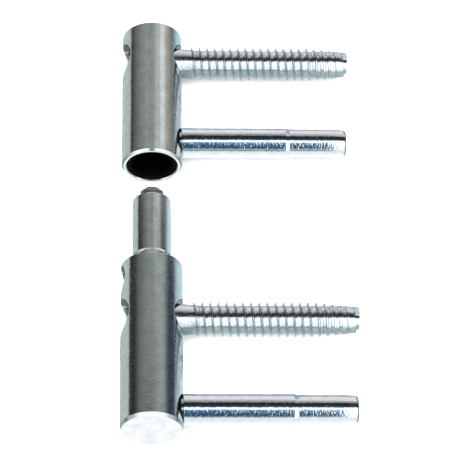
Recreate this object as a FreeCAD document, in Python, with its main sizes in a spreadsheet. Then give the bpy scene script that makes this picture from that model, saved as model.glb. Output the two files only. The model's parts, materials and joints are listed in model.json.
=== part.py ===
"""Adjustable screw-in door hinge: a frame half and a leaf half that lifts off its pivot pin.

The hinge lies on its side. The pivot axis runs along +Y, the four fixing pins point along +X,
and both barrels rest on the plane z = 0. Each sub-part is modelled in its own frame, whose
local Z is the pivot axis and whose local X is the direction of the fixing pins.
"""
import FreeCAD, Part
import Sketcher
import math
import os

from FreeCAD import Placement, Rotation, Vector

# Driving dimensions, in millimetres.
DIMENSIONS = {
    # Barrels.
    "barrel_radius": 10.0,
    "frame_length": 59.1,
    "leaf_length": 52.2,
    "rest_gap": 38.9,
    "fine_chamfer": 0.3,
    "mouth_chamfer": 0.6,
    "frame_top_chamfer": 0.5,
    "base_chamfer_rise": 1.2,
    "base_chamfer_inset": 0.5,
    "hole_edge": 0.4,
    # Cross bores, which hold the heads of the screw pins, and the fixed pins beside them.
    "cross_radius": 6.4,
    "frame_cross_drop": 19.6,
    "leaf_cross_drop": 10.3,
    "pin_spacing": 32.4,
    # Screw pins.
    "head_radius": 6.33,
    "head_tail": 7.3,
    "head_front": 4.6,
    "head_chamfer": 0.6,
    "head_groove_half": 2.7,
    "head_groove_radius": 4.8,
    "head_socket_flats": 6.0,
    "head_socket_depth": 4.0,
    "neck_radius": 5.35,
    "neck_start": 5.8,
    "neck_end_radius": 4.65,
    "neck_end": 15.0,
    "core_radius": 4.45,
    "thread_radius": 5.6,
    "thread_start": 13.25,
    "thread_pitch": 2.6,
    "thread_turns": 20.25,
    "thread_root_width": 2.5,
    "thread_foot_width": 0.9,
    "thread_foot_rise": 0.12,
    "thread_crest_width": 0.2,
    "screw_taper_start": 52.0,
    "screw_reach": 66.3,
    "screw_tip_radius": 4.1,
    "screw_tip_core": 3.2,
    # Fixed pins.
    "fixed_radius": 5.0,
    "fixed_seat_radius": 4.0,
    "fixed_start": 10.05,
    "fixed_step": 44.5,
    "fixed_step_length": 1.3,
    "fixed_end_radius": 4.75,
    "fixed_nose_length": 6.5,
    "fixed_nose_radius": 4.4,
    "fixed_reach": 64.8,
    "fixed_edge": 1.2,
    "frame_fixed_seat": 2.0,
    # Pivot pin.
    "pivot_radius": 6.3,
    "pivot_exposed": 25.2,
    "pivot_edge": 0.7,
    "pivot_relief_radius": 5.8,
    "pivot_relief_length": 2.9,
    "pivot_relief_cone": 0.6,
    "pivot_seat": 12.2,
    "pivot_lock_radius": 4.8,
    "pivot_lock_half": 2.7,
    "dog_radius": 2.5,
    "dog_hole_radius": 2.55,
    "dog_reach": 5.0,
    # Height screw in the top of the pivot pin.
    "height_radius": 3.9,
    "height_bore_radius": 3.95,
    "height_stand": 3.9,
    "height_length": 12.0,
    "height_bore_depth": 12.0,
    "height_chamfer": 0.9,
    "height_socket_flats": 4.0,
    "height_socket_depth": 3.0,
    "height_thread_pitch": 1.25,
    "height_thread_depth": 0.35,
    "height_thread_turns": 3,
    # Set screw that locks the pivot pin.
    "lock_radius": 5.0,
    "lock_hole_radius": 5.05,
    "lock_drop": 5.5,
    "lock_face": 8.5,
    "lock_shoulder": 6.6,
    "lock_tip": 4.95,
    "lock_chamfer": 0.5,
    "lock_socket_flats": 5.0,
    "lock_socket_depth": 1.5,
    # Bearing bush and thrust pad in the leaf barrel.
    "bush_radius": 8.4,
    "bush_bore_radius": 6.37,
    "bush_recess": 0.6,
    "bush_lead": 0.7,
    "bush_floor": 2.5,
    "pad_depth": 28.75,
    "pad_radius": 6.48,
    "pad_seat_radius": 6.55,
    "pad_thickness": 2.0,
    "pad_chamfer": 0.3,
    # Retaining screw in the top of the leaf barrel.
    "keeper_radius": 3.0,
    "keeper_drop": 0.3,
    "keeper_chamfer": 0.4,
    "keeper_socket_flats": 3.0,
    "keeper_socket_depth": 2.0,
}

doc = FreeCAD.newDocument("door_hinge")
sheet = doc.addObject("Spreadsheet::Sheet", "dims")
for row, (alias, value) in enumerate(DIMENSIONS.items(), start=1):
    sheet.set(f"A{row}", alias)
    sheet.set(f"B{row}", str(value))
    sheet.setAlias(f"B{row}", alias)
doc.recompute()


class Size:
    """A length that knows both its value and the spreadsheet expression that gives it."""

    def __init__(self, value, text):
        self.value = float(value)
        self.text = text

    def __add__(self, other):
        other = as_size(other)
        return Size(self.value + other.value, f"({self.text} + {other.text})")

    def __sub__(self, other):
        other = as_size(other)
        return Size(self.value - other.value, f"({self.text} - {other.text})")

    def __mul__(self, factor):
        return Size(self.value * factor, f"({self.text} * {factor})")

    def __neg__(self):
        return self * -1


def as_size(number):
    return number if isinstance(number, Size) else Size(number, str(number))


def dim(alias):
    return Size(sheet.get(alias), f"dims.{alias}")


ZERO = Size(0, "0")
RADIUS = dim("barrel_radius")
# Two heights nearer than this are the same height.
TOUCH = 0.01

# Stations along the pivot axis. Y = 0 is the middle of the hinge as it lies apart.
overall = dim("frame_length") + dim("rest_gap") + dim("leaf_length")
FRAME_BASE = -(overall * 0.5)
FRAME_TOP = FRAME_BASE + dim("frame_length")
LEAF_MOUTH = FRAME_TOP + dim("rest_gap")
LEAF_TOP = LEAF_MOUTH + dim("leaf_length")
FRAME_CROSS = FRAME_TOP - dim("frame_cross_drop")
LEAF_CROSS = LEAF_TOP - dim("leaf_cross_drop")
FRAME_FIXED = FRAME_CROSS - dim("pin_spacing")
LEAF_FIXED = LEAF_CROSS - dim("pin_spacing")
# The pivot axis stands off X = 0 so that the hinge lies centred over the origin.
PIVOT_X = (RADIUS - dim("screw_reach")) * 0.5
UPRIGHT = Rotation(Vector(1, 0, 0), -90)


def new_body(name, station):
    """A body whose origin is on the pivot axis at a station along it."""
    body = doc.addObject("PartDesign::Body", name)
    body.Label = name
    body.Placement = Placement(Vector(PIVOT_X.value, station.value, RADIUS.value), UPRIGHT)
    for axis, length in (("x", PIVOT_X), ("y", station), ("z", RADIUS)):
        body.setExpression(f"Placement.Base.{axis}", length.text)
    return body


def new_sketch(body, name, role, offset=ZERO):
    """A sketch on one of the body's own origin planes, moved along the plane's normal."""
    sketch = body.newObject("Sketcher::SketchObject", name)
    plane = next(item for item in body.Origin.OriginFeatures if item.Role == role)
    sketch.AttachmentSupport = [(plane, "")]
    sketch.MapMode = "FlatFace"
    sketch.AttachmentOffset = Placement(Vector(0, 0, offset.value), Rotation())
    sketch.setExpression("AttachmentOffset.Base.z", offset.text)
    return sketch


def bind(sketch, kind, elements, length, label):
    """Add a dimension constraint and bind it to the spreadsheet."""
    index = sketch.addConstraint(Sketcher.Constraint(kind, *elements, length.value))
    sketch.renameConstraint(index, label)
    sketch.setExpression(f"Constraints.{label}", length.text)


def outline(sketch, points, domed=None):
    """A closed outline whose corners are dimensioned from the origin.

    Its edges are straight, apart from the one that starts at the domed corner: an arc that
    leaves along the edge before it, which is horizontal, and falls to its own far corner.
    """
    corners = [Vector(across.value, along.value, 0) for across, along in points]
    last = len(points) - 1
    is_arc = [point is domed for point in points]
    for edge, start in enumerate(corners):
        end = corners[0 if edge == last else edge + 1]
        if is_arc[edge]:
            run, fall = end.x - start.x, start.y - end.y
            radius = (run**2 + fall**2) / (2 * fall)
            whole = Part.Circle(Vector(start.x, start.y - radius, 0), Vector(0, 0, 1), radius)
            far_angle = math.atan2(radius - fall, run)
            sketch.addGeometry(Part.ArcOfCircle(whole, far_angle, math.pi / 2), False)
        else:
            sketch.addGeometry(Part.LineSegment(start, end), False)
    for edge, (across, along) in enumerate(points):
        following = 0 if edge == last else edge + 1
        # An arc runs anticlockwise, so its edge starts at its second end.
        start_end, finish_end = (2, 1) if is_arc[edge] else (1, 2)
        joint, next_end = ("Tangent", 2) if is_arc[following] else ("Coincident", 1)
        sketch.addConstraint(
            Sketcher.Constraint(joint, edge, finish_end, following, next_end))
        for axis, length, other_axis in (("X", across, -2), ("Y", along, -1)):
            if length is ZERO:
                sketch.addConstraint(
                    Sketcher.Constraint("PointOnObject", edge, start_end, other_axis))
            else:
                corner = (-1, 1, edge, start_end)
                bind(sketch, f"Distance{axis}", corner, length, f"p{edge}{axis}")
    return sketch


def circle(sketch, radius, height=ZERO):
    """A circle on the sketch's vertical axis."""
    centre = Vector(0, height.value, 0)
    sketch.addGeometry(Part.Circle(centre, Vector(0, 0, 1), radius.value), False)
    bind(sketch, "Radius", (0,), radius, "radius")
    sketch.addConstraint(Sketcher.Constraint("PointOnObject", 0, 3, -2))
    if height is ZERO:
        sketch.addConstraint(Sketcher.Constraint("PointOnObject", 0, 3, -1))
    else:
        bind(sketch, "DistanceY", (-1, 1, 0, 3), height, "height")
    return sketch


def revolve(body, points, axis="V_Axis", domed=None):
    """Turn an outline in the local XZ plane about local Z (V_Axis) or local X (H_Axis)."""
    sketch = outline(new_sketch(body, f"{body.Name}_profile", "XZ_Plane"), points, domed)
    turned = body.newObject("PartDesign::Revolution", f"{body.Name}_turned")
    turned.Profile = sketch
    turned.ReferenceAxis = (sketch, [axis])
    turned.Angle = 360
    doc.recompute()
    return turned


def cut_groove(body, points, axis, name):
    """Turn an outline in the local XZ plane and take it away."""
    sketch = outline(new_sketch(body, f"{body.Name}_{name}_profile", "XZ_Plane"), points)
    before = body.Shape.Volume
    groove = body.newObject("PartDesign::Groove", f"{body.Name}_{name}")
    groove.Profile = sketch
    groove.ReferenceAxis = (sketch, [axis])
    groove.Angle = 360
    doc.recompute()
    assert body.Shape.Volume < before, f"{groove.Name} cuts nothing"
    return groove


def cut_pocket(body, sketch, name, depth=None, both_ways=False, towards_plus=True):
    """Cut a sketch through the body along its normal, or to a depth."""
    before = body.Shape.Volume
    pocket = body.newObject("PartDesign::Pocket", f"{body.Name}_{name}")
    pocket.Profile = sketch
    if depth is None:
        pocket.Type = "ThroughAll"
        pocket.Midplane = both_ways
    else:
        pocket.Type = "Length"
        pocket.Length = depth.value
        pocket.setExpression("Length", depth.text)
    pocket.Reversed = towards_plus
    doc.recompute()
    assert body.Shape.Volume < before, f"{pocket.Name} cuts nothing"
    return pocket


def cut_hex_socket(body, role, face, flats, depth, towards_plus):
    """A hexagon socket for a key, in the face at a distance along the plane's normal."""
    sketch = new_sketch(body, f"{body.Name}_socket_profile", role, face)
    corner = flats * (1 / math.sqrt(3))
    sides = 6
    spots = [
        Vector(
            corner.value * math.cos(math.tau * side / sides),
            corner.value * math.sin(math.tau * side / sides),
            0,
        )
        for side in range(sides)
    ]
    for start, end in zip(spots, spots[1:] + spots[:1]):
        sketch.addGeometry(Part.LineSegment(start, end), False)
    ring = sketch.addGeometry(Part.Circle(Vector(), Vector(0, 0, 1), corner.value), True)
    for side in range(sides):
        following = (side + 1) % sides
        sketch.addConstraint(Sketcher.Constraint("Coincident", side, 2, following, 1))
        sketch.addConstraint(Sketcher.Constraint("PointOnObject", side, 1, ring))
        if side:
            sketch.addConstraint(Sketcher.Constraint("Equal", 0, side))
    sketch.addConstraint(Sketcher.Constraint("Coincident", ring, 3, -1, 1))
    sketch.addConstraint(Sketcher.Constraint("PointOnObject", 0, 1, -1))
    bind(sketch, "Radius", (ring,), corner, "corner")
    return cut_pocket(body, sketch, "socket", depth, towards_plus=towards_plus)


def soften(body, name, size, chosen):
    """Fillet the edges that a test picks out."""
    base = body.Tip
    shape = base.Shape
    names = [f"Edge{i}" for i, edge in enumerate(shape.Edges, start=1) if chosen(edge)]
    fillet = body.newObject("PartDesign::Fillet", f"{body.Name}_{name}")
    fillet.Base = (base, names)
    fillet.Radius = size.value
    fillet.setExpression("Radius", size.text)
    doc.recompute()
    return fillet


def round_off_cross_bore(body, station):
    """Fillet the two rims where the cross bore comes out through the barrel's wall."""
    radius = dim("cross_radius").value

    def is_rim(edge):
        middle = edge.BoundBox.Center
        freeform = edge.Curve.TypeId == "Part::GeomBSplineCurve"
        return freeform and abs(middle.x) > radius and abs(middle.z - station.value) < radius

    return soften(body, "rims", dim("hole_edge"), is_rim)


def add_fixed_hole(body, station, seat):
    """The hole that takes the root of a fixed pin, from a seat out through the wall."""
    hole = new_sketch(body, f"{body.Name}_fixed_hole_profile", "YZ_Plane", seat)
    circle(hole, dim("fixed_seat_radius"), station)
    return cut_pocket(body, hole, "fixed_hole")


def add_cross_bore(body, station):
    """The bore right through the barrel that holds the head of a screw pin."""
    bore = new_sketch(body, f"{body.Name}_cross_profile", "YZ_Plane")
    circle(bore, dim("cross_radius"), station)
    return cut_pocket(body, bore, "cross_bore", both_ways=True)


def make_frame_barrel():
    """Solid barrel with a blind seat for the pivot pin, closed and chamfered at its base."""
    body = new_body("frame_barrel", FRAME_TOP)
    base = -dim("frame_length")
    seat = dim("pivot_radius")
    web = -dim("pivot_seat")
    cross = -dim("frame_cross_drop")
    revolve(body, [
        (ZERO, base),
        (RADIUS - dim("base_chamfer_inset"), base),
        (RADIUS, base + dim("base_chamfer_rise")),
        (RADIUS, -dim("frame_top_chamfer")),
        (RADIUS - dim("frame_top_chamfer"), ZERO),
        (seat, ZERO),
        (seat, web),
        (dim("dog_hole_radius"), web),
        (dim("dog_hole_radius"), cross),
        (ZERO, cross),
    ])
    add_cross_bore(body, cross)
    lock = new_sketch(body, "frame_barrel_lock_profile", "YZ_Plane")
    circle(lock, dim("lock_hole_radius"), -dim("lock_drop"))
    cut_pocket(body, lock, "lock_hole", towards_plus=False)
    add_fixed_hole(body, cross - dim("pin_spacing"), dim("frame_fixed_seat"))
    round_off_cross_bore(body, cross)
    return body


def make_leaf_barrel():
    """Barrel open at its mouth for the bearing bush, with a tapped hole in its closed top."""
    body = new_body("leaf_barrel", LEAF_MOUTH)
    top = dim("leaf_length")
    fine = dim("fine_chamfer")
    mouth = dim("mouth_chamfer")
    bore = dim("bush_radius")
    floor = dim("pad_depth") + dim("pad_thickness") + dim("bush_floor")
    cross = top - dim("leaf_cross_drop")
    revolve(body, [
        (ZERO, floor),
        (bore, floor),
        (bore, fine),
        (bore + fine, ZERO),
        (RADIUS - mouth, ZERO),
        (RADIUS, mouth),
        (RADIUS, top - fine),
        (RADIUS - fine, top),
        (dim("keeper_radius"), top),
        (dim("keeper_radius"), cross),
        (ZERO, cross),
    ])
    add_cross_bore(body, cross)
    add_fixed_hole(body, cross - dim("pin_spacing"), ZERO)
    round_off_cross_bore(body, cross)
    return body


def make_fixed_pin(name, station, root):
    """Plain pin with a shallow step; its root is a spigot seated in the barrel wall."""
    body = new_body(name, station)
    spigot = dim("fixed_seat_radius")
    start = dim("fixed_start")
    shank = dim("fixed_radius")
    end = dim("fixed_end_radius")
    step = dim("fixed_step")
    reach = dim("fixed_reach")
    dome = (reach - dim("fixed_nose_length"), end)
    revolve(body, [
        (root, ZERO),
        (root, spigot),
        (start, spigot),
        (start, shank),
        (step, shank),
        (step + dim("fixed_step_length"), end),
        dome,
        (reach, dim("fixed_nose_radius")),
        (reach, ZERO),
    ], "H_Axis", dome)

    def is_tip(edge):
        box = edge.BoundBox
        return box.XLength < TOUCH and math.isclose(box.XMin, reach.value, abs_tol=TOUCH)

    soften(body, "tip", dim("fixed_edge"), is_tip)
    return body


def make_screw_pin(name, station):
    """Screw pin: a grooved head that turns in the cross bore, a neck and a coarse thread."""
    body = new_body(name, station)
    head = dim("head_radius")
    tail = -dim("head_tail")
    chamfer = dim("head_chamfer")
    groove = dim("head_groove_half")
    floor = dim("head_groove_radius")
    neck = dim("neck_radius")
    neck_end = dim("neck_end_radius")
    core = dim("core_radius")
    crest = dim("thread_radius")
    taper = dim("screw_taper_start")
    reach = dim("screw_reach")
    tip = dim("screw_tip_radius")
    tip_core = dim("screw_tip_core")
    revolve(body, [
        (tail, ZERO),
        (tail, head - chamfer),
        (tail + chamfer, head),
        (-groove, head),
        (-groove, floor),
        (groove, floor),
        (groove, head),
        (dim("head_front"), head),
        (dim("neck_start"), neck),
        (dim("neck_end"), neck_end),
        (dim("neck_end") + (neck_end - core), core),
        (taper, core),
        (reach, tip_core),
        (reach, ZERO),
    ], "H_Axis")
    ridge = new_sketch(body, f"{name}_ridge_profile", "XZ_Plane")
    start = dim("thread_start")
    half_root = dim("thread_root_width") * 0.5
    half_foot = dim("thread_foot_width") * 0.5
    half_crest = dim("thread_crest_width") * 0.5
    foot = core + dim("thread_foot_rise")
    root = tip_core - dim("thread_crest_width")
    outline(ridge, [
        (start - half_root, root),
        (start + half_root, root),
        (start + half_root, core),
        (start + half_foot, foot),
        (start + half_crest, crest),
        (start - half_crest, crest),
        (start - half_foot, foot),
        (start - half_root, core),
    ])
    thread = body.newObject("PartDesign::AdditiveHelix", f"{name}_thread")
    thread.Profile = ridge
    thread.ReferenceAxis = (ridge, ["H_Axis"])
    thread.Mode = "pitch-turns-angle"
    thread.Pitch = dim("thread_pitch").value
    thread.setExpression("Pitch", "dims.thread_pitch")
    thread.Turns = dim("thread_turns").value
    thread.setExpression("Turns", "dims.thread_turns")
    doc.recompute()
    clear = dim("thread_pitch")
    cut_groove(body, [
        (taper, crest),
        (reach, tip),
        (reach, ZERO),
        (reach + clear, ZERO),
        (reach + clear, crest + clear),
        (taper, crest + clear),
    ], "H_Axis", "taper")
    cut_hex_socket(body, "YZ_Plane", tail, dim("head_socket_flats"),
                   dim("head_socket_depth"), towards_plus=True)
    return body


def make_pivot_pin():
    """Pivot pin: a dog at its foot, a locking groove, a relief at the barrel and a bored top."""
    body = new_body("pivot_pin", FRAME_TOP)
    pin = dim("pivot_radius")
    foot = -dim("pivot_seat")
    dog_end = dim("dog_reach") - dim("frame_cross_drop")
    lock = -dim("lock_drop")
    half = dim("pivot_lock_half")
    relief = dim("pivot_relief_radius")
    relief_end = dim("pivot_relief_length")
    shoulder = dim("pivot_exposed")
    bore = dim("height_bore_radius")
    bore_end = shoulder - dim("height_bore_depth")
    revolve(body, [
        (ZERO, dog_end),
        (dim("dog_radius"), dog_end),
        (dim("dog_radius"), foot),
        (pin, foot),
        (pin, lock - half),
        (dim("pivot_lock_radius"), lock - half),
        (dim("pivot_lock_radius"), lock + half),
        (pin, lock + half),
        (pin, ZERO),
        (relief, ZERO),
        (relief, relief_end),
        (pin, relief_end + dim("pivot_relief_cone")),
        (pin, shoulder),
        (bore, shoulder),
        (bore, bore_end),
        (ZERO, bore_end),
    ])

    def is_nose(edge):
        at_top = math.isclose(edge.BoundBox.ZMin, shoulder.value, abs_tol=TOUCH)
        return at_top and edge.BoundBox.XLength > pin.value + bore.value

    soften(body, "nose", dim("pivot_edge"), is_nose)
    return body


def make_height_screw():
    """Height screw: its chamfered tip carries the thrust pad; its thread shows as grooves."""
    body = new_body("height_screw", FRAME_TOP)
    radius = dim("height_radius")
    top = dim("pivot_exposed") + dim("height_stand")
    foot = top - dim("height_length")
    chamfer = dim("height_chamfer")
    revolve(body, [
        (ZERO, foot),
        (radius, foot),
        (radius, top - chamfer),
        (radius - chamfer, top),
        (ZERO, top),
    ])
    pitch = dim("height_thread_pitch")
    depth = dim("height_thread_depth")
    for turn in range(int(sheet.get("height_thread_turns"))):
        middle = top - chamfer - pitch * (turn + 0.5)
        cut_groove(body, [
            (radius, middle - depth),
            (radius - depth, middle),
            (radius, middle + depth),
        ], "V_Axis", f"thread{turn}")
    cut_hex_socket(body, "XY_Plane", top, dim("height_socket_flats"),
                   dim("height_socket_depth"), towards_plus=False)
    return body


def make_lock_screw():
    """Set screw that bears in the pivot pin's groove and keeps the pin in the barrel."""
    body = new_body("pivot_lock_screw", FRAME_TOP - dim("lock_drop"))
    radius = dim("lock_radius")
    face = -dim("lock_face")
    chamfer = dim("lock_chamfer")
    shoulder = -dim("lock_shoulder")
    revolve(body, [
        (face, ZERO),
        (face, radius - chamfer),
        (face + chamfer, radius),
        (shoulder, radius),
        (shoulder, dim("dog_radius")),
        (-dim("lock_tip"), dim("dog_radius")),
        (-dim("lock_tip"), ZERO),
    ], "H_Axis")
    cut_hex_socket(body, "YZ_Plane", face, dim("lock_socket_flats"),
                   dim("lock_socket_depth"), towards_plus=True)
    return body


def make_bearing_bush():
    """Plastic bush, pressed into the leaf barrel, with a closed end behind the thrust pad."""
    body = new_body("bearing_bush", LEAF_MOUTH)
    outer = dim("bush_radius")
    bore = dim("bush_bore_radius")
    mouth = dim("bush_recess")
    lead = dim("bush_lead")
    pad = dim("pad_depth")
    pad_end = pad + dim("pad_thickness")
    revolve(body, [
        (ZERO, pad_end),
        (dim("pad_seat_radius"), pad_end),
        (dim("pad_seat_radius"), pad),
        (bore, pad),
        (bore, mouth + lead),
        (bore + lead, mouth),
        (outer, mouth),
        (outer, pad_end + dim("bush_floor")),
        (ZERO, pad_end + dim("bush_floor")),
    ])
    return body


def make_thrust_pad():
    """Steel disc, snapped into the end of the bush, which stands on the height screw."""
    body = new_body("thrust_pad", LEAF_MOUTH)
    radius = dim("pad_radius")
    face = dim("pad_depth")
    chamfer = dim("pad_chamfer")
    back = face + dim("pad_thickness")
    revolve(body, [
        (ZERO, face),
        (radius - chamfer, face),
        (radius, face + chamfer),
        (radius, back - chamfer),
        (radius - chamfer, back),
        (ZERO, back),
    ])
    return body


def make_keeper_screw():
    """Grub screw in the leaf barrel's top, whose end rides in the screw pin's head groove."""
    body = new_body("leaf_keeper_screw", LEAF_TOP)
    radius = dim("keeper_radius")
    top = -dim("keeper_drop")
    end = dim("dog_reach") - dim("leaf_cross_drop")
    wall = dim("cross_radius") - dim("leaf_cross_drop")
    nose = dim("dog_radius")
    chamfer = dim("keeper_chamfer")
    revolve(body, [
        (ZERO, end),
        (nose, end),
        (nose, wall),
        (radius, wall + chamfer),
        (radius, top - chamfer),
        (radius - chamfer, top),
        (ZERO, top),
    ])
    cut_hex_socket(body, "XY_Plane", top, dim("keeper_socket_flats"),
                   dim("keeper_socket_depth"), towards_plus=False)
    return body


subparts = [
    make_frame_barrel(),
    make_pivot_pin(),
    make_height_screw(),
    make_lock_screw(),
    make_screw_pin("frame_screw_pin", FRAME_CROSS),
    make_fixed_pin("frame_fixed_pin", FRAME_FIXED, dim("frame_fixed_seat")),
    make_leaf_barrel(),
    make_bearing_bush(),
    make_thrust_pad(),
    make_keeper_screw(),
    make_screw_pin("leaf_screw_pin", LEAF_CROSS),
    make_fixed_pin("leaf_fixed_pin", LEAF_FIXED, dim("bush_radius")),
]
doc.recompute()

for item in doc.Objects:
    failed = {"Invalid", "Error"} & set(item.State)
    assert not failed, f"{item.Name} is {item.State}"
for subpart in subparts:
    shape = subpart.Shape
    assert not shape.isNull() and shape.isValid(), f"{subpart.Label} has no valid shape"
    assert len(shape.Solids) == 1, f"{subpart.Label} has {len(shape.Solids)} solids"

os.makedirs("parts", exist_ok=True)
for subpart in subparts:
    subpart.Shape.exportStep(f"parts/{subpart.Label}.step")
    print(subpart.Label, round(subpart.Shape.Volume, 1), subpart.Shape.BoundBox)
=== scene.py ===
"""Looks of the screw-in door hinge: two zinc-plated halves, drawn apart, on a pale table."""

import json
import math

import bpy
from mathutils import Matrix, Vector

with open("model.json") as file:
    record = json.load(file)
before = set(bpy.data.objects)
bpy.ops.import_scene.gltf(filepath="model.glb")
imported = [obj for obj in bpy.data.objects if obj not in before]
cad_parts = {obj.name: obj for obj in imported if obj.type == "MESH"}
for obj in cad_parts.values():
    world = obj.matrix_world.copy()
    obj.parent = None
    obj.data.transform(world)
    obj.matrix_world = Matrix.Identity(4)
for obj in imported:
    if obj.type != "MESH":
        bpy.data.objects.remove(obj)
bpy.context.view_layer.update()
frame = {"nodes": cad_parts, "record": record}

MM = 0.001

# The pivot axis runs along Y through this point.
PIVOT = Vector((-28.15, 0.0, 10.0)) * MM
# Stations along Y of the two screw pins and of the set screw.
FRAME_SCREW = -35.6 * MM
LEAF_SCREW = 64.8 * MM
LOCK_SCREW = -21.5 * MM

# ------------------------------------------------------------------ camera

CAMERA_AZIMUTH = -3.69
CAMERA_ELEVATION = 57.94
CAMERA_ROLL = 3.31
CAMERA_DISTANCE = 809.8 * MM
CAMERA_AIM = Vector((-2.96, -1.44, 10.0)) * MM
CAMERA_LENS = 194.9


def direction(azimuth, elevation):
    """A unit vector, angles in degrees: azimuth 0 is towards -Y and 90 towards +X."""
    turn, climb = math.radians(azimuth), math.radians(elevation)
    flat = math.cos(climb)
    return Vector((math.sin(turn) * flat, -math.cos(turn) * flat, math.sin(climb)))


def add_object(name, data):
    obj = bpy.data.objects.new(name, data)
    bpy.context.collection.objects.link(obj)
    return obj


def add_camera():
    data = bpy.data.cameras.new("camera")
    data.lens = CAMERA_LENS
    camera = add_object("camera", data)
    back = direction(CAMERA_AZIMUTH, CAMERA_ELEVATION)
    camera.location = CAMERA_AIM + back * CAMERA_DISTANCE
    level = back.to_track_quat("Z", "Y").to_matrix()
    camera.rotation_euler = (level @ Matrix.Rotation(math.radians(CAMERA_ROLL), 3, "Z")).to_euler()
    bpy.context.scene.camera = camera


# ------------------------------------------------------------------ node trees

class Nodes:
    """A thin layer over a node tree, so that a shader reads as a list of named steps."""

    def __init__(self, tree):
        self.tree = tree

    def add(self, kind, inputs=None, **settings):
        """A node with its settings; each input is a constant or another node's output."""
        node = self.tree.nodes.new(kind)
        for name, value in settings.items():
            setattr(node, name, value)
        self.feed(node, inputs or {})
        return node

    def feed(self, node, inputs):
        for key, value in inputs.items():
            if isinstance(value, bpy.types.NodeSocket):
                self.tree.links.new(value, node.inputs[key])
            else:
                node.inputs[key].default_value = value

    def math(self, operation, *values):
        return self.add("ShaderNodeMath", dict(enumerate(values)), operation=operation).outputs[0]

    def remap(self, value, low, high, out_low=0.0, out_high=1.0, shape="LINEAR"):
        node = self.add("ShaderNodeMapRange", {
            "Value": value, "From Min": low, "From Max": high,
            "To Min": out_low, "To Max": out_high,
        }, interpolation_type=shape)
        return node.outputs["Result"]

    def mix(self, factor, first, second, blend="MIX"):
        """A colour between two others, or one colour times another."""
        node = self.add("ShaderNodeMix", {0: factor, 6: first, 7: second},
                        data_type="RGBA", blend_type=blend)
        return node.outputs[2]

    def blend(self, factor, first, second):
        """A number between two others."""
        node = self.add("ShaderNodeMix", {0: factor, 2: first, 3: second}, data_type="FLOAT")
        return node.outputs[0]

    def ramp(self, value, stops):
        node = self.add("ShaderNodeValToRGB", {"Fac": value})
        ramp = node.color_ramp
        while len(ramp.elements) < len(stops):
            ramp.elements.new(0.5)
        for element, (position, colour) in zip(ramp.elements, stops):
            element.position = position
            element.color = rgba(colour)
        return node.outputs["Color"]

    def noise(self, vector, scale, detail=2.0, roughness=0.5):
        node = self.add("ShaderNodeTexNoise", {
            "Vector": vector, "Scale": scale, "Detail": detail, "Roughness": roughness})
        return node.outputs["Fac"]


def rgba(colour):
    return (*colour, 1.0)


def new_material(name):
    """A material, the layer over its node tree, its local coordinates, shader and output."""
    material = bpy.data.materials.new(name)
    material.use_nodes = True
    nodes = Nodes(material.node_tree)
    place = nodes.add("ShaderNodeTexCoord").outputs["Object"]
    ends = material.node_tree.nodes
    return material, nodes, place, ends["Principled BSDF"], ends["Material Output"]


# Where in a noise's range a soft mark or a hard one starts, and where it is full.
WHOLE = (0.3, 0.7)
BROAD = (0.35, 0.65)
PITS = (0.32, 0.22)
SPECKS = (0.62, 0.72)
SPECKS_BY_COVER = 0.2
SCRATCHES = (0.68, 0.74)

# ------------------------------------------------------------------ studio

# What the metal mirrors on an arc through the middle of the studio. Degrees go from straight
# down (-90) up the front (0 is the horizon), over the top (90) and down the back (180).
MIDDLE_ARC = (
    (-90, (1.50, 1.52, 1.54)),
    (-50, (1.50, 1.52, 1.54)),
    (-30, (1.22, 1.30, 1.36)),
    (0, (1.15, 1.26, 1.34)),
    (8, (0.33, 0.47, 0.53)),
    (15, (0.07, 0.16, 0.23)),
    (28, (0.020, 0.080, 0.17)),
    (44, (0.03, 0.14, 0.31)),
    (54, (0.06, 0.23, 0.47)),
    (62, (0.28, 0.52, 0.75)),
    (66, (1.80, 2.05, 2.10)),
    (76, (1.80, 2.00, 2.05)),
    (81, (0.08, 0.10, 0.12)),
    (92, (0.035, 0.045, 0.06)),
    (108, (0.025, 0.025, 0.03)),
    (117, (0.035, 0.035, 0.035)),
    (124, (0.20, 0.20, 0.20)),
    (136, (0.80, 0.79, 0.82)),
    (148, (1.12, 1.08, 1.13)),
    (172, (1.18, 1.13, 1.19)),
    (184, (0.74, 0.79, 0.81)),
    (206, (0.66, 0.72, 0.73)),
    (236, (0.36, 0.42, 0.41)),
    (252, (1.40, 1.45, 1.50)),
    (270, (1.50, 1.52, 1.54)),
)
# The same to the left and to the right, where the arc does not meet the wall behind.
LEFT_ARC = (
    (-90, (0.42, 0.53, 0.52)),
    (-55, (0.50, 0.62, 0.62)),
    (-20, (1.22, 1.30, 1.36)),
    (20, (1.70, 1.82, 1.88)),
    (64, (1.95, 2.05, 2.10)),
    (77, (1.90, 2.05, 2.10)),
    (81, (0.08, 0.09, 0.10)),
    (176, (0.035, 0.035, 0.035)),
    (184, (0.66, 0.76, 0.73)),
    (215, (0.70, 0.80, 0.76)),
    (240, (0.62, 0.72, 0.68)),
    (270, (0.42, 0.53, 0.52)),
)
RIGHT_ARC = (
    (-90, (0.42, 0.53, 0.52)),
    (-55, (0.50, 0.62, 0.62)),
    (-20, (1.22, 1.30, 1.36)),
    (20, (1.70, 1.82, 1.88)),
    (64, (1.95, 2.05, 2.10)),
    (77, (1.90, 2.05, 2.10)),
    (81, (0.08, 0.09, 0.10)),
    (172, (0.07, 0.085, 0.12)),
    (184, (0.27, 0.38, 0.42)),
    (198, (0.46, 0.66, 0.72)),
    (214, (0.72, 0.94, 1.02)),
    (240, (0.80, 1.02, 1.08)),
    (270, (0.42, 0.53, 0.52)),
)
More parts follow.
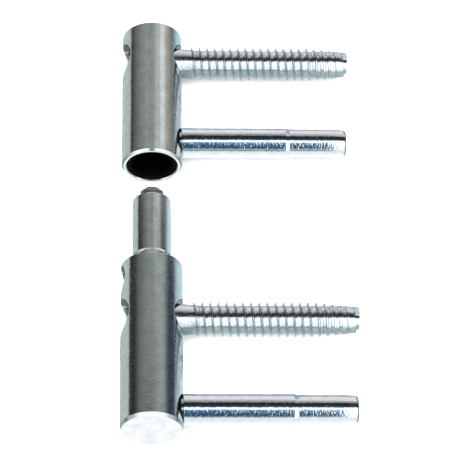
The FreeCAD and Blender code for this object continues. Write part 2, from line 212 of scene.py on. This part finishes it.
# The wall behind, by the angle to the left (negative) or to the right.
WALL = (
    (-90, (0.030, 0.030, 0.028)),
    (-53, (0.040, 0.042, 0.040)),
    (-50, (0.065, 0.065, 0.060)),
    (-43, (0.155, 0.160, 0.145)),
    (-34, (0.225, 0.240, 0.230)),
    (-25, (0.260, 0.290, 0.280)),
    (-16, (0.320, 0.350, 0.335)),
    (0, (0.385, 0.415, 0.395)),
    (8, (0.410, 0.445, 0.440)),
    (18, (0.430, 0.480, 0.500)),
    (28, (0.460, 0.500, 0.510)),
    (38, (0.400, 0.430, 0.420)),
    (46, (0.170, 0.200, 0.210)),
    (52, (0.055, 0.070, 0.100)),
    (90, (0.040, 0.050, 0.070)),
)
# What the arcs' angles run over, and the wall's.
FULL_TURN = (-90.0, 270.0)
BOTH_SIDES = (-90.0, 90.0)
# The strip light's back edge, and the wall's foot, on the arcs.
STRIP_END = 78
WALL_FOOT = (174, 183)
# Where the dark gap in front is measured, half its width at its foot and at its top, and how much
# wider the middle of the table is below it.
GAP_SPAN = (10.0, 60.0)
GAP_FOOT = 7.2
GAP_TOP = 4.6
TABLE_EDGE = (-10.0, 0.0)
TABLE_MORE = 13
# The wall starts above the dark ledge. Higher up, an opening in it widens from a point.
LEDGE = (115.0, 118.5)
WIDENING = (126, 134)
OPENING_FOOT = 3
OPENING_HALF = 14
EDGE_SOFT = 1.8
# In front, the sides grow dimmer between these angles to the left and right.
DIMMING = (40, 62)
DIM_LEVEL = 0.40
CAMERA_SKY = (0.93, 0.94, 0.95)
# The cards on the table: what they reach along X, the place and height of their folded-up front,
# how far back they start, how high they lie, and their mottling.
NECK_REACH = (-18 * MM, -14 * MM)
THREAD_REACH = (-14 * MM, 44 * MM)
BORE_REACH = (-43 * MM, -32 * MM)
PIN_FRONT = (-13 * MM, 11 * MM)
BORE_FRONT = (-9 * MM, 2 * MM)
LOCK_FRONT = (-6 * MM, 2 * MM)
SHADE_CARD_BACK = 9 * MM
LIFT = 0.4 * MM
MOTTLE = 2 * MM
# The cards' colours: painted shade of the table under the screws and in the bores, as the metal
# mirrors it.
TEAL = ((0.24, 0.36, 0.37), (0.46, 0.62, 0.62))
PALE_TEAL = ((0.32, 0.48, 0.50), (0.92, 1.02, 1.02))
SHADE = ((0.09, 0.11, 0.11), (0.34, 0.41, 0.40))
# The cards that the leaf barrel mirrors, and how far they are from the pivot axis.
CARD_RADIUS = 340 * MM
BARREL_CARDS = (
    # name, turn, width, near, far, radiance, colour
    ("leaf_glow", 50, 0.53, 0.228, 0.40, 0.24, (1.0, 0.94, 0.84)),
    ("leaf_highlight", 41, 0.11, 0.225, 0.36, 0.42, (0.97, 0.97, 1.0)),
    ("leaf_warmth", 62, 0.145, 0.228, 0.40, 0.14, (1.0, 0.66, 0.44)),
    ("leaf_haze", -45, 0.42, 0.230, 0.40, 0.10, (1.0, 1.0, 0.97)),
)
# The light over the table.
FILL_SIZE = (2.4, 2.4)
FILL_RADIANCE = 9.5
FILL_COLOUR = (1.0, 0.99, 0.98)
FILL_ELEVATION = 80
FILL_DISTANCE = 2.0
FLOOR_SIZE = 8
FLOOR_TONES = ((0.83, 0.835, 0.84), (0.86, 0.86, 0.86))
FLOOR_MOTTLE = 3.0
FLOOR_ROUGH = 0.9


def add_world():
    """A soft studio: a strip light overhead, a wall behind with an opening, a gap in front."""
    world = bpy.data.worlds.new("studio")
    world.use_nodes = True
    bpy.context.scene.world = world
    nodes = Nodes(world.node_tree)
    background = world.node_tree.nodes["Background"]
    where = nodes.add("ShaderNodeTexCoord").outputs["Generated"]
    split = nodes.add("ShaderNodeSeparateXYZ", {0: where})
    from_top = nodes.math("ARCTAN2", split.outputs["Y"], split.outputs["Z"])
    arc = nodes.remap(from_top, -math.pi, math.pi, *FULL_TURN)
    sideways = nodes.math("DEGREES", nodes.math("ARCSINE", split.outputs["X"]))

    def by_angle(angle, lowest, highest, stops):
        place = nodes.remap(angle, lowest, highest)
        span = highest - lowest
        return nodes.ramp(place, [((stop - lowest) / span, colour) for stop, colour in stops])

    def by_arc(stops):
        return by_angle(arc, *FULL_TURN, stops)

    gap = nodes.remap(arc, *GAP_SPAN, GAP_FOOT, GAP_TOP)
    gap = nodes.math("ADD", gap, nodes.remap(arc, *TABLE_EDGE, TABLE_MORE, 0.0))
    past_gap = nodes.math("SUBTRACT", nodes.math("ABSOLUTE", sideways), gap)
    half = nodes.remap(arc, *WIDENING, -EDGE_SOFT, OPENING_HALF)
    middle = nodes.remap(arc, *WIDENING, OPENING_FOOT, 0.0)
    from_middle = nodes.math("ABSOLUTE", nodes.math("SUBTRACT", sideways, middle))
    past_opening = nodes.math("SUBTRACT", from_middle, half)
    behind = nodes.math("GREATER_THAN", arc, STRIP_END)
    aside = nodes.remap(
        nodes.blend(behind, past_gap, past_opening), 0.0, EDGE_SOFT, shape="SMOOTHSTEP")
    above_ledge = nodes.remap(arc, *LEDGE)
    aside = nodes.math("MULTIPLY", aside, nodes.blend(behind, 1.0, above_ledge))
    to_right = nodes.math("GREATER_THAN", split.outputs["X"], 0.0)
    sides = nodes.mix(to_right, by_arc(LEFT_ARC), by_arc(RIGHT_ARC))
    level = nodes.remap(nodes.math("ABSOLUTE", sideways), *DIMMING, 1.0, DIM_LEVEL)
    sides = nodes.mix(1.0, sides, nodes.blend(behind, level, 1.0), "MULTIPLY")
    on_wall = nodes.math("MULTIPLY", behind, nodes.remap(arc, *WALL_FOOT, 1.0, 0.0))
    sides = nodes.mix(on_wall, sides, by_angle(sideways, *BOTH_SIDES, WALL))
    mirrored = nodes.mix(aside, by_arc(MIDDLE_ARC), sides)
    to_camera = nodes.add("ShaderNodeLightPath").outputs["Is Camera Ray"]
    seen = nodes.mix(to_camera, mirrored, rgba(CAMERA_SKY))
    world.node_tree.links.new(seen, background.inputs["Color"])


def add_area_light(name, size, radiance, colour, mirrored):
    """A rectangular soft light of a given brightness."""
    width, height = size
    data = bpy.data.lights.new(name, "AREA")
    data.shape = "RECTANGLE"
    data.size = width
    data.size_y = height
    data.energy = radiance * math.pi * width * height
    data.color = colour
    light = add_object(name, data)
    light.visible_camera = False
    light.visible_glossy = mirrored
    return light


def add_mirrored_shade_card(name, station, reach, front, colours):
    """A glowing card on the table, folded up along its front, that is seen only in the metal:
    painted shade of the table where the metal mirrors it.

    reach is where it starts and ends along X, and front the fold's place and height.
    """
    out, top = front
    corners = [(end, y, z) for y, z in ((SHADE_CARD_BACK, LIFT), (out, LIFT), (out, top))
               for end in reach]
    mesh = bpy.data.meshes.new(name)
    mesh.from_pydata(
        [(x, station + y, z) for x, y, z in corners], [], [(0, 1, 3, 2), (2, 3, 5, 4)])
    card = add_object(name, mesh)
    material, nodes, place, _, output = new_material(name)
    tone = nodes.remap(nodes.noise(place, 1 / MOTTLE), *BROAD)
    colour = nodes.mix(tone, *map(rgba, colours))
    glow = nodes.add("ShaderNodeEmission", {"Color": colour, "Strength": 1.0})
    nodes.feed(output, {"Surface": glow.outputs["Emission"]})
    mesh.materials.append(material)
    for ray in ("camera", "diffuse", "shadow", "transmission", "volume_scatter"):
        setattr(card, f"visible_{ray}", False)


def add_floor_fill():
    """A broad light overhead that brightens the table and is not mirrored in the metal."""
    light = add_area_light("floor_fill", FILL_SIZE, FILL_RADIANCE, FILL_COLOUR, mirrored=False)
    away = direction(0, FILL_ELEVATION)
    light.location = away * FILL_DISTANCE
    light.rotation_euler = away.to_track_quat("Z", "Y").to_euler()


def add_barrel_card(name, turn, width, near, far, radiance, colour):
    """A card parallel to the barrels, placed so that the leaf barrel mirrors it.

    turn is its angle about the pivot axis: 0 is overhead and 90 is towards +X. It reaches
    from near to far along the axis.
    """
    light = add_area_light(name, (width, far - near), radiance, colour, mirrored=True)
    angle = math.radians(turn)
    light.location = (
        PIVOT.x + CARD_RADIUS * math.sin(angle),
        (near + far) / 2,
        PIVOT.z + CARD_RADIUS * math.cos(angle),
    )
    light.rotation_euler = (0.0, angle, 0.0)


def add_floor():
    bpy.ops.mesh.primitive_plane_add(size=FLOOR_SIZE)
    floor = bpy.context.object
    floor.name = "floor"
    paper, nodes, place, shader, _ = new_material("white_paper")
    tone = nodes.remap(nodes.noise(place, FLOOR_MOTTLE, 4.0), *WHOLE)
    colour = nodes.mix(tone, *map(rgba, FLOOR_TONES))
    nodes.feed(shader, {
        "Base Color": colour, "Roughness": FLOOR_ROUGH, "Specular IOR Level": 0.0})
    floor.data.materials.append(paper)
    floor.visible_glossy = False


# ------------------------------------------------------------------ materials

EDGE_ROUND = 0.12 * MM
SPECK = 0.55 * MM
# How far the ambient occlusion looks round a place for the painted shade of hollows.
CAVITY = 2.5 * MM
# The edges' colours: BRIGHT_RIM is rubbed plating, the other is painted shade on the screws' thread
# crests.
BRIGHT_RIM = (0.74, 0.76, 0.77)
CREST_SHADE = (0.29, 0.33, 0.33)
# Painted shade laid into hollows, gaps and thread roots, and how far it covers the metal's colour.
HOLLOW_SHADE = (0.03, 0.033, 0.035)
HOLLOW_SHADE_COVER = 0.94
# The cosine between the rounded normal and the flat one where an edge starts, and where it is full.
EDGE_TURN = (0.99, 0.80)
# Scratches run askew to X and are this many times longer than they are wide.
SCRATCH_TURN = 0.6
SCRATCH_LENGTH = 1 / 0.07
# The scales of a metal's marks, as multiples of its grain's, and how dark and deep its pits are.
BLOTCH_SCALE = 0.22
PIT_SCALE = 0.9
SCRATCH_SCALE = 2.4
FINISH_SCALE = 0.7
PIT_SHADE = 0.5
PIT_DEPTH = 0.3
# The black plastic: its colours, black darkened to almost nothing as painted shade of the bore, and
# the scale of its mottling, its roughness and its gloss.
ACETAL_TONES = ((0.0003, 0.0003, 0.0004), (0.0009, 0.0009, 0.001))
ACETAL_MOTTLE = 900
ACETAL_ROUGH = (0.42, 0.6)
ACETAL_GRAIN = 1500
ACETAL_GLOSS = 0.015


def metal(name, light, shade, rough, grain, speckle,
          scratch=0.0, around=1.0, rim=BRIGHT_RIM, shut_in=(0.66, 0.36)):
    """Plated or bare steel: blotchy tint, hammered grain, dull specks, pits and scratches,
    rubbed edges, and painted shade in hollows and on thread crests.

    rough is the (least, greatest) roughness of the clean metal, grain the (wavelength, depth)
    of the fine unevenness, speckle the (cover, roughness) of the dull specks in the plating,
    and scratch the scratches' depth. around is below 1 when the unevenness runs round X, and
    rim is the colour of the edges: rubbed plating when light, painted shade on thread crests
    when dark. shut_in is how open a place is where its painted shade starts, and where it is
    darkest.
    """
    material, nodes, place, shader, _ = new_material(name)
    wavelength, depth = grain
    drawn = nodes.add("ShaderNodeMapping", {"Vector": place, "Scale": (1.0, around, around)})
    uneven = nodes.noise(drawn.outputs["Vector"], 1 / wavelength, 1, 0.4)
    blotch = nodes.remap(nodes.noise(place, BLOTCH_SCALE / wavelength, 4, 0.6), *BROAD)
    pits = nodes.remap(nodes.noise(place, PIT_SCALE / wavelength, 3, 0.7), *PITS)
    cover, dull = speckle
    speck_range = (limit - SPECKS_BY_COVER * cover for limit in SPECKS)
    specks = nodes.remap(nodes.noise(place, 1 / SPECK, 2, 0.6), *speck_range)
    scored = nodes.add("ShaderNodeMapping", {
        "Vector": place, "Rotation": (0.0, 0.0, SCRATCH_TURN),
        "Scale": (1.0, 1 / SCRATCH_LENGTH, 1.0)})
    lines = nodes.noise(scored.outputs["Vector"], SCRATCH_SCALE / wavelength, 1)
    lines = nodes.remap(lines, *SCRATCHES)
    bevel = nodes.add("ShaderNodeBevel", {"Radius": EDGE_ROUND}, samples=4).outputs["Normal"]
    flat = nodes.add("ShaderNodeNewGeometry").outputs["Normal"]
    turned = nodes.add("ShaderNodeVectorMath", {0: bevel, 1: flat}, operation="DOT_PRODUCT")
    edge = nodes.remap(turned.outputs["Value"], *EDGE_TURN)
    # Painted shade: by ambient occlusion, hollows, gaps and thread roots go near-black.
    open_air = nodes.add(
        "ShaderNodeAmbientOcclusion", {"Distance": CAVITY}, samples=4).outputs["AO"]
    hollow_shade = nodes.remap(open_air, *shut_in, 0.0, HOLLOW_SHADE_COVER)

    tint = nodes.mix(blotch, rgba(shade), rgba(light))
    pitted = nodes.mix(pits, tint, rgba(PIT_SHADE * part for part in shade))
    # Edges take the rim colour: rubbed plating, or painted shade on the screws' crests.
    edge_wear_and_shade = nodes.mix(edge, pitted, rgba(rim))
    colour = nodes.mix(hollow_shade, edge_wear_and_shade, rgba(HOLLOW_SHADE))
    clean = nodes.remap(nodes.noise(place, FINISH_SCALE / wavelength, 3), *WHOLE, *rough)
    finish = nodes.blend(edge, nodes.blend(specks, clean, dull), rough[0])
    cuts = nodes.math("MULTIPLY", lines, -scratch)
    relief = nodes.math("ADD", nodes.math("MULTIPLY", uneven, depth), cuts)
    relief = nodes.math("SUBTRACT", relief, nodes.math("MULTIPLY", pits, PIT_DEPTH * depth))
    bump = nodes.add("ShaderNodeBump", {
        "Height": relief, "Strength": 1.0, "Distance": 1.0, "Normal": bevel})
    nodes.feed(shader, {
        "Base Color": colour, "Roughness": finish, "Normal": bump.outputs["Normal"],
        "Metallic": 1.0})
    return material


def black_plastic():
    """Moulded acetal, black in itself and painted darker still, nearly to nothing, as the shade of
    the bore.
    """
    material, nodes, place, shader, _ = new_material("black_acetal")
    tone = nodes.remap(nodes.noise(place, ACETAL_MOTTLE, 3), *WHOLE)
    colour = nodes.mix(tone, *map(rgba, ACETAL_TONES))
    finish = nodes.remap(nodes.noise(place, ACETAL_GRAIN, 2), *WHOLE, *ACETAL_ROUGH)
    nodes.feed(shader, {
        "Base Color": colour, "Roughness": finish, "Specular IOR Level": ACETAL_GLOSS})
    return material


FINISHES = {
    "zinc_barrel": metal("zinc_barrel", (0.67, 0.68, 0.69), (0.53, 0.56, 0.56), (0.12, 0.20),
                         (0.75 * MM, 0.020 * MM), (0.12, 0.32), 0.005 * MM),
    "zinc_pin": metal("zinc_pin", (0.67, 0.68, 0.70), (0.60, 0.63, 0.65), (0.06, 0.12),
                      (0.56 * MM, 0.041 * MM), (0.10, 0.28), around=0.52),
    # The screws get painted shade on their crests and more of it in their roots.
    "zinc_screw": metal("zinc_screw", (0.64, 0.66, 0.68), (0.52, 0.56, 0.58), (0.12, 0.22),
                        (0.80 * MM, 0.032 * MM), (0.12, 0.40),
                        rim=CREST_SHADE, shut_in=(0.36, 0.18)),
    "zinc_small_screw": metal("zinc_small_screw", (0.32, 0.33, 0.29), (0.16, 0.17, 0.15),
                              (0.24, 0.40), (0.60 * MM, 0.030 * MM), (0.20, 0.55)),
    "black_bush": black_plastic(),
    "hard_steel": metal("hard_steel", (0.42, 0.42, 0.43), (0.36, 0.36, 0.37), (0.18, 0.30),
                        (0.50 * MM, 0.006 * MM), (0.10, 0.40)),
}


def finish_nodes():
    """Give every CAD node the finish of its slot in the record.

    The pivot pin gets the barrels' finish instead, because its plating is as smooth as theirs.
    """
    slots = {part["node"]: part["material_slot"] for part in frame["record"]["subparts"]}
    slots["pivot_pin"] = "zinc_barrel"
    for name, obj in frame["nodes"].items():
        for slot in obj.material_slots:
            slot.material = FINISHES[slots[name]]


add_camera()
add_world()
add_floor()
add_floor_fill()
for barrel_card in BARREL_CARDS:
    add_barrel_card(*barrel_card)
# Cards seen only in the metal: painted shade of the table under each screw and in the bores.
for side, screw in (("frame", FRAME_SCREW), ("leaf", LEAF_SCREW)):
    add_mirrored_shade_card(f"{side}_neck_card", screw, NECK_REACH, PIN_FRONT, TEAL)
    add_mirrored_shade_card(f"{side}_thread_card", screw, THREAD_REACH, PIN_FRONT, PALE_TEAL)
    add_mirrored_shade_card(f"{side}_bore_card", screw, BORE_REACH, BORE_FRONT, SHADE)
add_mirrored_shade_card("lock_card", LOCK_SCREW, BORE_REACH, LOCK_FRONT, SHADE)
finish_nodes()

view = bpy.context.scene.view_settings
view.view_transform = "Standard"
